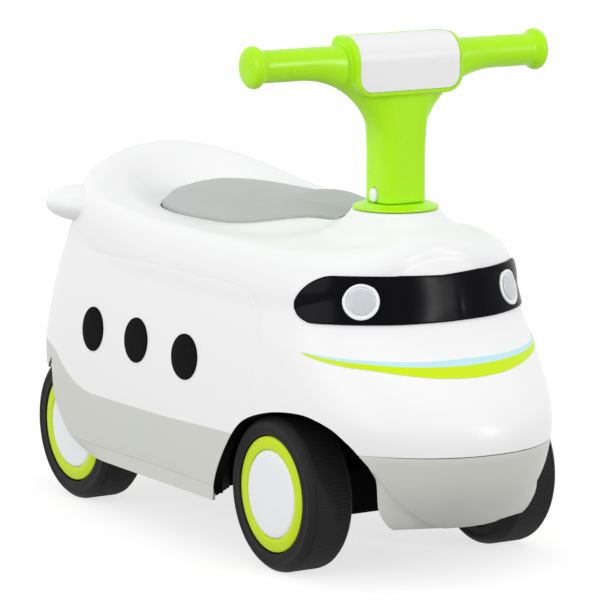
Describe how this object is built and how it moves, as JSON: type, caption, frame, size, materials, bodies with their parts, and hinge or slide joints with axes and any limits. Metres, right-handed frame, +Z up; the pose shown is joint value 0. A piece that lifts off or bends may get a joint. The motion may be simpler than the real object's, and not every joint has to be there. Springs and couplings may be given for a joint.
{
  "type": "ride-on car",
  "caption": "Child's ride-on car: hollow rounded body with raised backrest, lidded seat bin, T-shaped steering handlebar and free-rolling wheels.",
  "frame": {"origin": "centre of the bounding box in X and Y, at the ground under the tyres", "axes": "+X to the rider's left, -Y forwards, +Z up"},
  "size_m": [0.279, 0.5784, 0.424],
  "materials": {
    "white_shell": "glossy moulded",
    "warm_grey": "satin",
    "seat_grey": "satin",
    "lime": "glossy",
    "wheel_lime": "satin",
    "tyre": "matt",
    "black_plastic": "satin",
    "visor_black": "high gloss",
    "pale_grey": "satin",
    "zinc_steel": "zinc plated"
  },
  "bodies": {
    "car_body": {"body_shell": "white_shell", "chassis": "warm_grey", "front_wheel_housing": "black_plastic", "front_bumper": "warm_grey", "storage_bin": "warm_grey", "lid_hinge_pin": "zinc_steel", "visor": "visor_black", "rear_axle": "zinc_steel", "rear_axle_bush_left": "black_plastic", "rear_axle_bush_right": "black_plastic", "upper_steering_bush": "pale_grey", "lower_steering_bush": "pale_grey", "bumper_screw_left": "zinc_steel", "bumper_screw_right": "zinc_steel", "housing_screw_left": "zinc_steel", "housing_screw_right": "zinc_steel", "window_left_1": "black_plastic", "window_left_2": "black_plastic", "window_left_3": "black_plastic", "window_right_1": "black_plastic", "window_right_2": "black_plastic", "window_right_3": "black_plastic", "rear_left_axle_nut": "zinc_steel", "rear_right_axle_nut": "zinc_steel", "body_screw_1": "zinc_steel", "body_screw_2": "zinc_steel", "body_screw_3": "zinc_steel", "body_screw_4": "zinc_steel"},
    "steering": {"handlebar_front": "lime", "handlebar_rear": "lime", "bar_cover": "pale_grey", "column_collar": "lime", "steering_shaft": "white_shell", "button_spring": "zinc_steel", "front_axle_carrier": "black_plastic", "front_axle": "zinc_steel", "front_left_axle_nut": "zinc_steel", "front_right_axle_nut": "zinc_steel", "bar_screw_1": "zinc_steel", "bar_screw_2": "zinc_steel", "bar_screw_3": "zinc_steel"},
    "seat_lid": {"seat_lid": "seat_grey"},
    "lock_button_left": {"lock_button_left": "white_shell"},
    "lock_button_right": {"lock_button_right": "white_shell"},
    "front_left_wheel": {"front_left_tyre": "tyre", "front_left_rim": "wheel_lime", "front_left_hub_cap": "white_shell"},
    "front_right_wheel": {"front_right_tyre": "tyre", "front_right_rim": "wheel_lime", "front_right_hub_cap": "white_shell"},
    "rear_left_wheel": {"rear_left_tyre": "tyre", "rear_left_rim": "wheel_lime", "rear_left_hub_cap": "white_shell"},
    "rear_right_wheel": {"rear_right_tyre": "tyre", "rear_right_rim": "wheel_lime", "rear_right_hub_cap": "white_shell"}
  },
  "joints": [
    {"name": "steering_turn", "type": "hinge", "parent": "car_body", "child": "steering", "pos_m": [0, -0.14475, 0.2], "axis": [0, 0, 1], "range_deg": [-16, 16]},
    {"name": "seat_lid_hinge", "type": "hinge", "parent": "car_body", "child": "seat_lid", "pos_m": [0, -0.07875, 0.268], "axis": [1, 0, 0], "range_deg": [0, 75]},
    {"name": "lock_button_left_press", "type": "slide", "parent": "steering", "child": "lock_button_left", "axis": [-1, 0, 0], "range_m": [0, 0.004], "stiffness_N_per_m": 400, "springref_m": -0.002},
    {"name": "lock_button_right_press", "type": "slide", "parent": "steering", "child": "lock_button_right", "axis": [1, 0, 0], "range_m": [0, 0.004], "stiffness_N_per_m": 400, "springref_m": -0.002},
    {"name": "front_left_wheel_spin", "type": "hinge", "parent": "steering", "child": "front_left_wheel", "pos_m": [0.0975, -0.14475, 0.063], "axis": [1, 0, 0], "continuous": true},
    {"name": "front_right_wheel_spin", "type": "hinge", "parent": "steering", "child": "front_right_wheel", "pos_m": [-0.0975, -0.14475, 0.063], "axis": [1, 0, 0], "continuous": true},
    {"name": "rear_left_wheel_spin", "type": "hinge", "parent": "car_body", "child": "rear_left_wheel", "pos_m": [0.0977, 0.18325, 0.063], "axis": [1, 0, 0], "continuous": true},
    {"name": "rear_right_wheel_spin", "type": "hinge", "parent": "car_body", "child": "rear_right_wheel", "pos_m": [-0.0977, 0.18325, 0.063], "axis": [1, 0, 0], "continuous": true}
  ]
}
